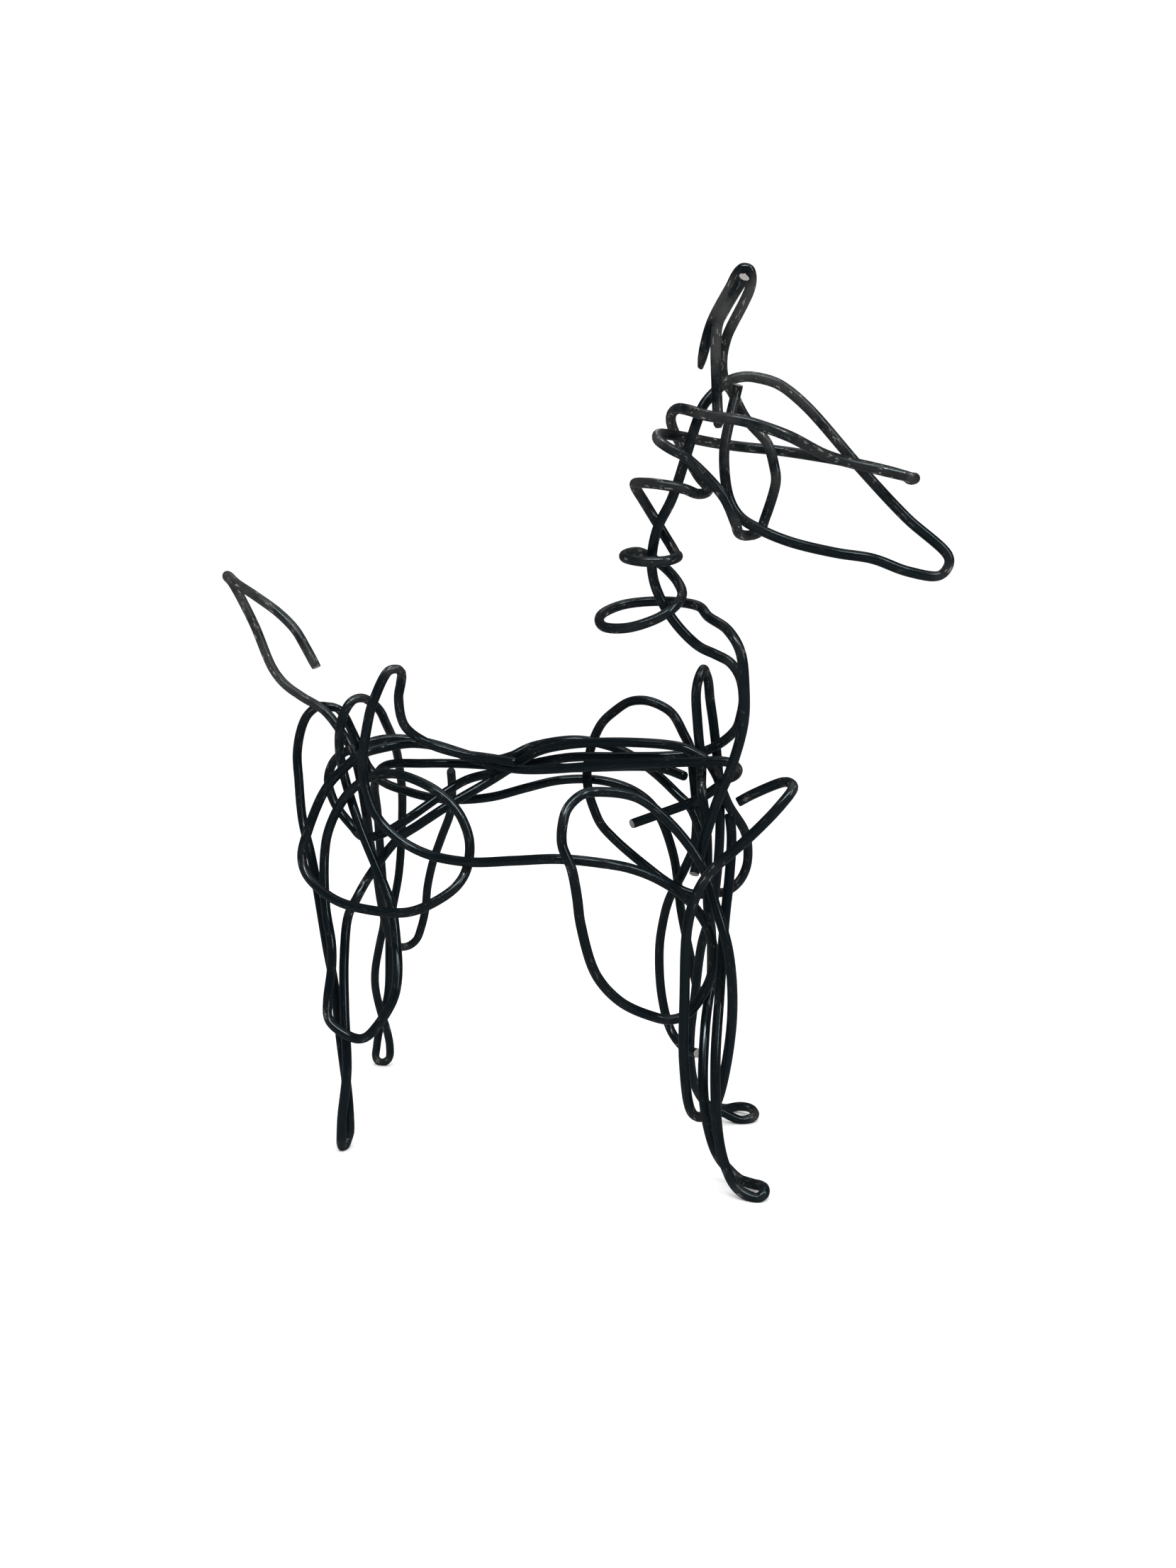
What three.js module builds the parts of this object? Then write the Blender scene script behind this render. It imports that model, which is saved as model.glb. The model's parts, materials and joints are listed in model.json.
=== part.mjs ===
// Wire sculpture: a standing four-legged animal with one upright ear and a raised tail,
// bent by hand from eight lengths of black lacquered round wire. It stands on four looped feet.
// Millimetres, +Z up, +X towards the head, -Y is the animal's right-hand side.
import * as THREE from 'three';

// ---- driving sizes ----
const WIRE_DIAMETER = 2.5;
const WIRE_SIDES = 8;
const STRAIGHT_STEP = 16;
const BEND_STEP = 0.55;
const SAMPLES_PER_SPAN = 24;
const FLOOR_LEVEL = 1.25;
const COIL_NEAR = -16;
const COIL_POINTS = 4;
const LACQUER = { color: 0x17191c, roughness: 0.4, metalness: 0.3 };

// ---- routes of the wires: centre-line points, in the order the wire was bent ----

// head outline, neck core, back, loop over the rump and back again to the withers
const PROFILE_ROUTE = [
  // cut end under the forehead, cheek and jaw
  [52.5, -5, 191.5], [51, -7, 183], [50, -8, 175], [51, -7, 165], [53.5, -6, 160.5], [58, -5, 157.5],
  [65, -2, 154.5], [75, 2, 152], [83.5, 4, 150.5], [91.5, 7, 147.5],
  // nose and forehead
  [98.5, 9, 146.5], [100.5, 9, 148.5], [100.5, 9, 151], [91, 6, 160], [80.5, 2, 171.5], [68, -4, 186],
  [62.5, -6, 190.5], [58.5, -7, 192], [54.5, -8, 192.5], [51, -9, 191.5], [46, -11, 186.5],
  [44.5, -12, 182.5],
  // neck
  [38.5, -12, 165], [34.5, -11, 158], [32.5, -9, 151], [33, -8, 145], [37, -6, 136.5],
  [43, -4, 130], [47, -3, 128], [50.5, -2, 126], [52.5, 0, 122.5], [53, 2, 117.5],
  [52, 4, 113], [50, 6, 109],
  // along the back
  [43, 7, 104], [34.5, 4, 102.5], [20, 2, 102], [6.5, 1, 101.5], [-14.5, 2.5, 97], [-22, 0, 95],
  [-26.5, -3, 92], [-34.5, -10.5, 85],
  // loop over the rump
  [-39, -12, 82], [-44, -12.5, 80], [-47.5, -12.5, 80], [-50, -12, 82], [-56.5, -11, 88.5],
  [-59, -10, 95], [-57, -9, 100.5], [-47, -8, 105], [-42.5, -5, 106], [-33.5, -1.5, 105],
  // back again to the withers
  [-15.5, 0.5, 100.5], [-9.5, 1, 101.5], [-4.5, 3, 104], [7, 5, 106], [14, 7, 105], [21, 8, 102.5],
  [28.5, 8, 97.5], [35, 6, 92.5], [39, 5, 89], [42.5, 5, 81],
];

// ear, cheek and brow, as far as the neck coil
const EAR_ROUTE = [
  // up the back of the ear and down again behind the head
  [45, -12, 194.5], [48, -14, 203.5], [53, -15.5, 211], [54.5, -16.5, 213], [56, -17, 214], [57.5, -16.5, 213.5],
  [57.5, -15.5, 210.5],
  [51, -11, 201], [49, -7, 196.5], [49, -4.5, 193], [50, -1, 191], [53.5, -2, 184.5],
  [59, -2, 178], [60.5, -1, 173], [61, -1, 169], [58, 1, 160.5],
  // hook under the jaw and back up across the cheek
  [57, 0, 157.5], [55, -2, 156.5], [53.5, -7, 156.5], [53.5, -11, 158.5], [51, -13, 164.5],
  [42.5, -16, 173.5], [39, -17, 175.5], [36.5, -17.5, 177.5], [36, -16, 179], [38.5, -11.5, 179.5],
  // brow loop, out on the far side and home on the near side
  [45.5, 1, 179.5], [51, 5, 179], [60, 8, 178], [78, 5, 173.5], [90.5, 4, 169.5], [92, 3.5, 168.5],
  [93, 2, 168.5], [92, 0.5, 168.5], [90.5, 0, 169], [85, -1, 170.5], [74.5, -8, 173], [66.5, -17, 176.5], [57.5, -21, 179.5],
  [49, -20, 181.5], [43, -17, 184], [40, -14, 185], [37.5, -10, 184.5], [36.5, -5, 182.5],
  [42, -2, 171.5], [45.5, -5, 167.5],
];
// half turns of the neck coil: the point at the side of the neck where one starts,
// then how far back the crossing lies and how far it bows upwards
const NECK_COIL = [
  [44.5, -11.5, 165.5, COIL_NEAR, 0.5],
  [28.5, -10, 168.5, -6, -1.5],
  [39.5, -11, 151, COIL_NEAR, -2],
  [25.5, -8, 152.5, -3, 3.5],
  [40, -9, 141.5, COIL_NEAR, -5.5],
  [18.5, -6, 138, 1, 4],
];
// from the coil down the front of the neck to the shoulder
const NECK_ROUTE = [
  [46, -6, 137], [52, -11, 133.5], [55.5, -13, 128.5], [56.5, -12.5, 120], [56, -11, 111.5],
  [53, -11, 100.5], [49.5, -10, 92.5], [44, -10, 74.5],
];

// short second strand of the ear
const EAR_FRONT_ROUTE = [
  [50, -14, 180], [49.5, -14, 188.5], [50.5, -18, 201.5], [52.5, -19.5, 204.5], [57, -20, 211],
];

// back, tall loop at the hip, belly line, shoulder loop and the loop hanging beside the foreleg
const BELLY_ROUTE = [
  // from inside the back up into the tall hip loop
  [-4.5, -7, 100.5], [-12.5, -7, 101.5], [-20, -8, 102.5], [-28.5, -11, 105.5], [-32.5, -15, 110],
  [-33, -17, 117], [-31.5, -18.5, 121], [-30.5, -20, 123.5], [-31, -21, 124.5], [-32.5, -23, 124],
  // down behind the haunch
  [-35.5, -25, 117], [-36.5, -26, 112.5], [-38.5, -26, 98.5], [-35.5, -26, 88.5],
  [-29.5, -26, 82.5], [-21, -26, 78.5], [-9.5, -26, 77],
  // belly
  [3, -26, 78], [15, -26, 79], [25, -23, 78], [30.5, -19, 76.5], [36.5, -15, 73.5],
  [42.5, -11, 68.5], [47, -8, 61],
  // round under the shoulder and up its near side
  [48.5, -8, 55], [48, -9, 48.5], [43, -11, 40], [39, -13, 38.5], [35, -15, 39.5],
  [28.5, -20.5, 44], [23.5, -24, 51], [21, -28, 64], [20.5, -29, 70.5], [19.5, -30, 77.5], [17, -29.5, 83],
  [17, -29, 88], [17.5, -27, 91.5], [20, -24, 94.5], [23, -21, 95], [31.5, -17, 93.5],
  // down to the loop beside the foreleg and up again
  [39.5, -14.5, 87], [47, -13.5, 77], [50.5, -14, 67.5], [54, -15, 56.5], [55, -15.5, 40],
  [52, -16, 21.5], [50, -16.5, 17.5], [47.5, -17, 16.5], [46, -19, 18.5], [44.5, -20, 30.5],
  [44.5, -20, 46], [45, -20, 63], [46.5, -19, 70], [49, -19, 75], [51.5, -18, 78],
  // point of the chest
  [59.5, -18, 85.5], [65.5, -17, 92], [68.5, -14, 96.5], [67.5, -11, 97.5], [65, -8, 97.5],
  [57, -5, 94], [53.5, -5, 92],
];

// both front feet and the tall loop of the withers
const WITHERS_ROUTE = [
  // down the near foreleg
  [51.5, -5, 89], [52, -5, 83.5], [52, -7, 74], [51.5, -9.5, 63], [51.5, -13.5, 46.5],
  [52.5, -21, 31.5], [54, -24, 15.5], [56, -25, 8.5],
  // near front foot
  [59, -25, 3.5], [63.5, -25, 2], [65, -24, 3], [64.5, -22, 3.5], [61.5, -20, 3], [58, -18.5, 3],
  [55.5, -18, 4.5],
  // up the near foreleg to the withers
  [52.5, -20.5, 10], [49.5, -20, 22], [47.5, -11.5, 37], [47, -7, 42], [47, -4, 47.5],
  [46.5, -3, 60], [46, -4, 64.5], [45.5, -4, 84], [44, -3.5, 95.5], [42.5, 2, 100],
  // tall loop
  [41.5, 2, 110], [41, 2, 119], [41.5, 3.5, 123], [42, 5, 124.5], [42, 6.5, 124], [42.5, 8, 121.5],
  [42.5, 10, 117], [43.5, 10, 110.5],
  // down the far foreleg
  [45, 10, 97], [45.5, 10, 84], [45, 10, 73], [43.5, 11, 62.5], [39.5, 15, 51], [37, 18, 35.5],
  [36, 18, 26], [36, 18, 18.5], [37.5, 18, 11],
  // far front foot
  [40.5, 18.5, 6.5], [45, 20, 4], [49.5, 21.5, 2], [52, 23, 2.5], [52.5, 25, 3],
  [50.5, 27.5, 3.5], [47, 29, 3], [43.5, 29, 2], [40.5, 29, 2],
];

// from the withers along the back to the ring of the haunch and both hind legs
const HAUNCH_ROUTE = [
  // cut end at the withers, turned back on itself
  [25, -1, 85], [38, 1.5, 90], [41.5, 2, 91.5], [47, 0, 95], [50.5, -3, 97.5], [52.5, -4, 98.5],
  [53.5, -5.5, 100], [52.5, -6.5, 101.5], [50.5, -6.5, 102], [37.5, -6, 101.5], [18, -3.5, 100], [-3.5, -4, 98.5],
  [-12.5, -4, 99.5], [-20, -4, 101.5], [-27, -6, 104], [-33.5, -9.5, 105], [-39.5, -14, 104],
  [-43, -19, 102.5],
  // ring of the haunch
  [-48, -20.5, 98.5], [-52.5, -22, 93], [-55.5, -26, 82], [-56.5, -27, 76.5], [-55, -28, 72.5],
  [-51, -29, 69], [-43, -30.5, 65.5], [-30.5, -31, 64], [-23, -31, 64.5], [-17, -30, 67],
  [-12.5, -27, 70.5], [-11, -24, 74], [-10.5, -22.5, 78.5], [-11, -22, 83], [-14.5, -21, 89],
  [-21, -20.5, 94], [-31.5, -19.5, 97.5], [-36.5, -19, 97.5], [-41, -19, 96.5],
  [-47, -20, 92],
  // down the near hind leg to the loop of the hock and up again
  [-52.5, -20, 83], [-53.5, -21, 76], [-51, -25, 63], [-47.5, -28, 53.5], [-47, -29, 47.5],
  [-47, -31, 40], [-46, -32.5, 36], [-44, -33, 34], [-38, -33, 31.5], [-35, -33, 32],
  [-32.5, -32, 34.5], [-29.5, -28.5, 41], [-29.5, -26, 46.5], [-32, -22, 54.5],
  [-35, -19, 63.5], [-37.5, -18, 68], [-44.5, -18, 83.5], [-51, -15, 97],
  // over the top of the rump
  [-51.5, -16, 103], [-51, -16.5, 108.5], [-50, -15.5, 113.5], [-48.5, -13.5, 116.5],
  [-47, -11.5, 117], [-46, -9, 116], [-45.5, -5, 113.5], [-46, -1, 110],
  // down the far hind leg
  [-48.5, 8, 104], [-52, 17, 96], [-54, 22, 88], [-57, 26.5, 74], [-59, 28, 62.5],
  [-63, 29.5, 46.5], [-65, 31, 24.5], [-68, 31.5, 14.5],
  // far hind foot
  [-69.5, 31.5, 7], [-69.5, 31, 3], [-67.5, 31, 2], [-65, 31, 3.5], [-64, 30, 8], [-64, 28, 14],
  [-65.5, 27.5, 19],
  // up again and home inside the back
  [-66.5, 26, 27], [-66.5, 26, 32.5], [-64.5, 25.5, 41], [-62, 24, 48.5], [-61, 22, 59],
  [-61, 21, 68.5], [-59, 16, 83], [-55, 8, 92.5], [-48, 2, 98], [-35, 1, 99],
  [-25.5, 3, 99], [-16, 6, 98.5], [5, 5.5, 98.5], [27, 4.5, 99.5], [33, 3, 99], [38.5, 1, 97.5],
];

// tail, ending in a long loop inside the hind quarters
const TAIL_ROUTE = [
  // upper strand and tip
  [-51, -27, 125], [-54, -27, 130], [-57, -27, 134.5], [-62, -27, 139], [-69, -27, 143.5],
  [-75.5, -26, 147], [-78.5, -25, 149], [-80.5, -23, 149], [-81, -20, 147.5],
  // lower strand
  [-77.5, -16, 137], [-73.5, -14, 125.5], [-71.5, -13, 122], [-68.5, -13, 119.5],
  [-65, -12, 117], [-58.5, -12, 113.5], [-53.5, -12, 108], [-49.5, -12.5, 102.5],
  // loop inside the hind quarters
  [-48, -11.5, 95], [-48, -9, 86.5], [-51.5, -1, 76], [-55, 8, 67], [-57.5, 15, 55.5],
  [-59.5, 24, 43], [-58.5, 27, 40.5], [-56.5, 29, 40.5], [-54, 29.5, 42.5], [-52, 29, 46.5],
  [-50.5, 29, 52], [-48.5, 27, 60], [-45.5, 25, 68], [-41, 22, 76], [-36, 18, 84],
  [-33.5, 14, 91.5], [-31.5, 9.5, 96.5],
];

// lower back, loop over the rump, near hind foot, back again and the loops of the shoulder
const RUMP_ROUTE = [
  // from beside the foreleg up to the lower back
  [36, 25, 35.5], [34, 23.5, 47], [32, 22, 58.5], [30.5, 18.5, 75], [26.5, 15.5, 87],
  [22, 14, 91.5], [16, 13, 94], [8.5, 12.5, 95], [0, 10.5, 94.5], [-8, 7, 92.5], [-17, 5.5, 90],
  [-26, 4, 89], [-34, 2.5, 89.5], [-41, 0, 91.5], [-46, -3, 94], [-50.5, -3, 98],
  // loop over the rump
  [-53, -3, 103], [-55, -4, 108], [-56, -6, 112], [-57.5, -7, 114], [-60, -8, 114.5],
  [-63, -8, 114.5], [-65.5, -9, 112.5], [-67, -10, 109], [-68, -11, 102], [-67, -12, 94.5],
  [-64, -15, 84], [-59.5, -18, 74.5],
  // near hind leg and its foot
  [-52.5, -22, 50.5], [-50.5, -22.5, 42.5], [-47, -25, 27], [-43.5, -28, 15], [-42.5, -29, 9],
  [-42.5, -29, 5], [-43, -29, 3.5], [-43, -30.5, 2], [-43, -31.5, 2], [-42.5, -33, 3.5],
  [-42.5, -33, 5],
  [-42.5, -32.5, 10],
  // up again
  [-42, -30.5, 22], [-44.5, -27, 36], [-47.5, -22, 49], [-48.5, -18, 59.5], [-46.5, -17, 64],
  [-45, -13.5, 69], [-35.5, -14, 80], [-29.5, -13.5, 84], [-22, -9, 89.5], [-14, -3, 95],
  // along the back
  [-8, -1, 99], [-1, -1.5, 103], [7.5, -2, 105], [21, -2, 106], [35, -1.5, 105.5], [40, -2, 104.5],
  [44.5, -2, 102], [46, 2, 98.5],
  // small shoulder loop
  [48, 8, 90], [51, 15, 82], [51.5, 16.5, 77], [51, 17, 72.5], [49, 17, 68.5], [46, 16, 66],
  [42.5, 15, 65.5], [38, 12, 65.5], [32.5, 10, 68],
  // large shoulder loop
  [25, 8.5, 73.5], [17.5, 8, 79.5], [13.5, 8, 83.5], [11.5, 8, 87.5], [10, 8, 92], [9, 9.5, 97],
  [9.5, 10, 102], [11, 10.5, 107], [13, 10.5, 110.5], [16.5, 10, 113.5], [20.5, 10, 116],
  [24.5, 10, 116.5], [28.5, 10, 115.5], [32.5, 10, 113], [35.5, 10, 108], [37.5, 10.5, 103.5],
  [38, 10.5, 98.5], [39, 10.5, 88], [38.5, 11, 79],
  // down the inside of the far foreleg
  [35, 13.5, 71.5], [30, 16.5, 62.5], [28, 17.5, 55.5], [27, 18, 48.5], [27.5, 18, 37],
  [30, 17, 28], [33, 15, 24.5], [36.5, 12.5, 23], [40.5, 9, 23.5],
];

// ---- building ----

// a smooth route whose stations crowd in the bends and spread out where the wire runs straight
class WireRoute extends THREE.CatmullRomCurve3 {
  constructor(points) {
    super(points, false, 'centripetal');
    const samples = (points.length - 1) * SAMPLES_PER_SPAN;
    this.measure = [0];
    let before = this.getPoint(0);
    let heading = this.getTangent(0);
    for (let i = 1; i <= samples; i += 1) {
      const here = this.getPoint(i / samples);
      const turned = this.getTangent(i / samples);
      const run = here.distanceTo(before) / STRAIGHT_STEP + turned.angleTo(heading) / BEND_STEP;
      this.measure.push(this.measure[i - 1] + run);
      before = here;
      heading = turned;
    }
    this.stations = Math.ceil(this.measure[samples]);
  }

  getUtoTmapping(u) {
    const last = this.measure.length - 1;
    const wanted = u * this.measure[last];
    let high = this.measure.findIndex((value) => value >= wanted);
    if (high < 1) high = wanted > 0 ? last : 1;
    const low = high - 1;
    const share = (wanted - this.measure[low]) / (this.measure[high] - this.measure[low]);
    return Math.min((low + share) / last, 1);
  }
}

function wireSection() {
  const section = new THREE.Shape();
  for (let i = 0; i < WIRE_SIDES; i += 1) {
    const angle = (i / WIRE_SIDES) * 2 * Math.PI;
    const x = (WIRE_DIAMETER / 2) * Math.cos(angle);
    const y = (WIRE_DIAMETER / 2) * Math.sin(angle);
    if (i === 0) section.moveTo(x, y);
    else section.lineTo(x, y);
  }
  section.closePath();
  return section;
}

// the coil winds down the neck: each half turn starts at one side and crosses to the other
function neckCoil(halfTurns, exit) {
  const points = [];
  halfTurns.forEach(([x, y, z, crossing, bow], i) => {
    const [nextX, nextY, nextZ] = i + 1 < halfTurns.length ? halfTurns[i + 1] : exit;
    for (let j = 0; j < COIL_POINTS; j += 1) {
      const angle = (j / COIL_POINTS) * Math.PI;
      const share = (1 - Math.cos(angle)) / 2;
      const level = y + (nextY - y) * share;
      points.push([
        x + (nextX - x) * share,
        level + (crossing - level) * Math.sin(angle),
        z + (nextZ - z) * share + bow * Math.sin(angle),
      ]);
    }
  });
  return points;
}

function wire(name, route) {
  const path = new WireRoute(route.map((point) => new THREE.Vector3(...point)));
  const geometry = new THREE.ExtrudeGeometry(wireSection(), {
    steps: path.stations,
    extrudePath: path,
    bevelEnabled: false,
  });
  // the feet are rubbed flat where they stand
  const position = geometry.attributes.position;
  for (let i = 0; i < position.count; i += 1) {
    position.setZ(i, Math.max(position.getZ(i), FLOOR_LEVEL));
  }
  const mesh = new THREE.Mesh(geometry, new THREE.MeshStandardMaterial(LACQUER));
  mesh.name = name;
  return mesh;
}

const sculpture = new THREE.Group();
sculpture.name = 'wire_sculpture';
sculpture.add(
  wire('profile_wire', PROFILE_ROUTE),
  wire('ear_and_neck_wire', [...EAR_ROUTE, ...neckCoil(NECK_COIL, NECK_ROUTE[0]), ...NECK_ROUTE]),
  wire('ear_front_strand', EAR_FRONT_ROUTE),
  wire('belly_wire', BELLY_ROUTE),
  wire('withers_wire', WITHERS_ROUTE),
  wire('haunch_wire', HAUNCH_ROUTE),
  wire('tail_wire', TAIL_ROUTE),
  wire('rump_wire', RUMP_ROUTE),
);

// the middle of the footprint stands at the origin
const box = new THREE.Box3().setFromObject(sculpture);
const middle = box.getCenter(new THREE.Vector3());
sculpture.children.forEach((mesh) => {
  mesh.geometry.translate(-middle.x, -middle.y, -box.min.z);
});

export default sculpture;
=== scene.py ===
"""Looks of the wire sculpture: eight lengths of black lacquered wire, bent by hand into a standing animal."""
import json
import math

import bmesh
import bpy
from mathutils import Matrix, Vector, noise

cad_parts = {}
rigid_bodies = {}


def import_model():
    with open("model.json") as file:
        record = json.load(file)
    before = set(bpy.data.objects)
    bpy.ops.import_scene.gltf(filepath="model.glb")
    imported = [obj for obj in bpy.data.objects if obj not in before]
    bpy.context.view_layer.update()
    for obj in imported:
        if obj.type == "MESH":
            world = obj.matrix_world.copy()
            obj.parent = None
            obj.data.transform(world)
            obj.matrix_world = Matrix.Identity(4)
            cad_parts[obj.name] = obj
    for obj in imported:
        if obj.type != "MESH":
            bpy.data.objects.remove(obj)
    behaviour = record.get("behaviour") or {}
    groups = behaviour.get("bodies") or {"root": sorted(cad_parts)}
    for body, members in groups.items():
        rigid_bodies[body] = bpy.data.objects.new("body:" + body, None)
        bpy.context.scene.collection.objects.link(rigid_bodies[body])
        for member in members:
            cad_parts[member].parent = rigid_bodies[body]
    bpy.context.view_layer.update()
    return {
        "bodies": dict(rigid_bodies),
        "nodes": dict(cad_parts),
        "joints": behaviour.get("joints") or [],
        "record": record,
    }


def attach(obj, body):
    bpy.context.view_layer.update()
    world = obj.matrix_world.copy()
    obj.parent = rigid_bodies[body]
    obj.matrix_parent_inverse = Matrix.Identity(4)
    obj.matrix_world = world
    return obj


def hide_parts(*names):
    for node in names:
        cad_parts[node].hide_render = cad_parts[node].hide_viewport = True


# ---- sizes, in metres ----
MM = 0.001
WIRE_RADIUS = 1.25 * MM
WIRE_SIDES = 20
STRAIGHT_STEP = 2.2 * MM
BEND_STEP = 0.11
SAMPLES_PER_SPAN = 14
END_STEP = 0.3 * MM
LAYOUT_SHIFT = Vector((-9.8135, 0.7952, -1.25)) * MM
FLATTENING = 0.07
HAND_TREMOR = 0.1 * MM
TREMOR_LENGTH = 26 * MM
COIL_NEAR = -16
COIL_POINTS = 4

# ---- cut ends: narrowing across and along the jaws, obliqueness, length worked, 1 for bare steel ----
JAW_SIDE = Vector((0.3, -0.95, 0.1))
CUTS = {
    "sheared": (0.93, 0.96, 0.6, 0.8 * MM, 1),
    "painted": (0.9, 0.9, 0.1, 0.5 * MM, 0),
    "nipped": (0.35, 0.95, 0.1, 1.5 * MM, 1),
    "pinched": (0.2, 0.6, 0.35, 3 * MM, 0),
    "rounded": (0.6, 0.6, 0, 1.1 * MM, 0),
}

# ---- marks of the pliers ----
PLIER_MARK_LENGTH = 3 * MM
PLIER_MARK_THRESHOLD = 0.25
PLIER_MARK_DEPTH = 0.12
LIGHT_MARKS = 0.15

# ---- colours ----
LACQUER_DARK = (0.001, 0.0018, 0.0025)
LACQUER_BLUE = (0.003, 0.0065, 0.009)
LACQUER_RUBBED = (0.036, 0.034, 0.033)
LACQUER_SHEEN = (0.75, 0.93, 1)
BARE_STEEL = (0.5, 0.48, 0.46)
CUT_LIGHT = (0.62, 0.6, 0.57)
CUT_DARK = (0.26, 0.25, 0.24)
FLOOR_COLOUR = (0.98, 0.98, 0.98)
# dark grey floor colour seen only by glossy rays: painted shade, so the wires reflect a dark floor
FLOOR_REFLECTED_SHADE = (0.1, 0.1, 0.1)
SKY_LIGHT = 1.08
ROOM_LIGHT = 0.05

# ---- camera ----
CAMERA_PLACE = Vector((107.1, -285.4, 120.25)) * MM
CAMERA_TURN = math.radians(20)
CAMERA_DIP = math.radians(5)
LENS_MM = 27.02
SENSOR_MM = 36

# ---- routes of the wires, in millimetres, as the wire was bent ----

# head outline, neck core, back, loop over the rump and back again to the withers
PROFILE_ROUTE = [
    # cut end under the forehead, cheek and jaw
    (52.5, -5, 191.5), (51, -7, 183), (50, -8, 175), (51, -7, 165), (53.5, -6, 160.5), (58, -5, 157.5),
    (65, -2, 154.5), (75, 2, 152), (83.5, 4, 150.5), (91.5, 7, 147.5),
    # nose and forehead
    (98.5, 9, 146.5), (100.5, 9, 148.5), (100.5, 9, 151), (91, 6, 160), (80.5, 2, 171.5), (68, -4, 186),
    (62.5, -6, 190.5), (58.5, -7, 192), (54.5, -8, 192.5), (51, -9, 191.5), (46, -11, 186.5),
    (44.5, -12, 182.5),
    # neck
    (38.5, -12, 165), (34.5, -11, 158), (32.5, -9, 151), (33, -8, 145), (37, -6, 136.5),
    (43, -4, 130), (47, -3, 128), (50.5, -2, 126), (52.5, 0, 122.5), (53, 2, 117.5),
    (52, 4, 113), (50, 6, 109),
    # along the back
    (43, 7, 104), (34.5, 4, 102.5), (20, 2, 102), (6.5, 1, 101.5), (-14.5, 2.5, 97), (-22, 0, 95),
    (-26.5, -3, 92), (-34.5, -10.5, 85),
    # loop over the rump
    (-39, -12, 82), (-44, -12.5, 80), (-47.5, -12.5, 80), (-50, -12, 82), (-56.5, -11, 88.5),
    (-59, -10, 95), (-57, -9, 100.5), (-47, -8, 105), (-42.5, -5, 106), (-33.5, -1.5, 105),
    # back again to the withers
    (-15.5, 0.5, 100.5), (-9.5, 1, 101.5), (-4.5, 3, 104), (7, 5, 106), (14, 7, 105), (21, 8, 102.5),
    (28.5, 8, 97.5), (35, 6, 92.5), (39, 5, 89), (42.5, 5, 81),
]

# ear, cheek and brow, as far as the neck coil
EAR_ROUTE = [
    # up the back of the ear and down again behind the head
    (45, -12, 194.5), (48, -14, 203.5), (53, -15.5, 211), (54.5, -16.5, 213), (56, -17, 214), (57.5, -16.5, 213.5),
    (57.5, -15.5, 210.5),
    (51, -11, 201), (49, -7, 196.5), (49, -4.5, 193), (50, -1, 191), (53.5, -2, 184.5),
    (59, -2, 178), (60.5, -1, 173), (61, -1, 169), (58, 1, 160.5),
    # hook under the jaw and back up across the cheek
    (57, 0, 157.5), (55, -2, 156.5), (53.5, -7, 156.5), (53.5, -11, 158.5), (51, -13, 164.5),
    (42.5, -16, 173.5), (39, -17, 175.5), (36.5, -17.5, 177.5), (36, -16, 179), (38.5, -11.5, 179.5),
    # brow loop, out on the far side and home on the near side
    (45.5, 1, 179.5), (51, 5, 179), (60, 8, 178), (78, 5, 173.5), (90.5, 4, 169.5), (92, 3.5, 168.5),
    (93, 2, 168.5), (92, 0.5, 168.5), (90.5, 0, 169), (85, -1, 170.5), (74.5, -8, 173), (66.5, -17, 176.5), (57.5, -21, 179.5),
    (49, -20, 181.5), (43, -17, 184), (40, -14, 185), (37.5, -10, 184.5), (36.5, -5, 182.5),
    (42, -2, 171.5), (45.5, -5, 167.5),
]

# half turns of the neck coil: the point at the side of the neck where one starts,
# then how far back the crossing lies and how far it bows upwards
NECK_COIL = [
    (44.5, -11.5, 165.5, COIL_NEAR, 0.5),
    (28.5, -10, 168.5, -6, -1.5),
    (39.5, -11, 151, COIL_NEAR, -2),
    (25.5, -8, 152.5, -3, 3.5),
    (40, -9, 141.5, COIL_NEAR, -5.5),
    (18.5, -6, 138, 1, 4),
]

# from the coil down the front of the neck to the shoulder
NECK_ROUTE = [
    (46, -6, 137), (52, -11, 133.5), (55.5, -13, 128.5), (56.5, -12.5, 120), (56, -11, 111.5),
    (53, -11, 100.5), (49.5, -10, 92.5), (44, -10, 74.5),
]

# short second strand of the ear
EAR_FRONT_ROUTE = [
    (50, -14, 180), (49.5, -14, 188.5), (50.5, -18, 201.5), (52.5, -19.5, 204.5), (57, -20, 211),
]

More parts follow.
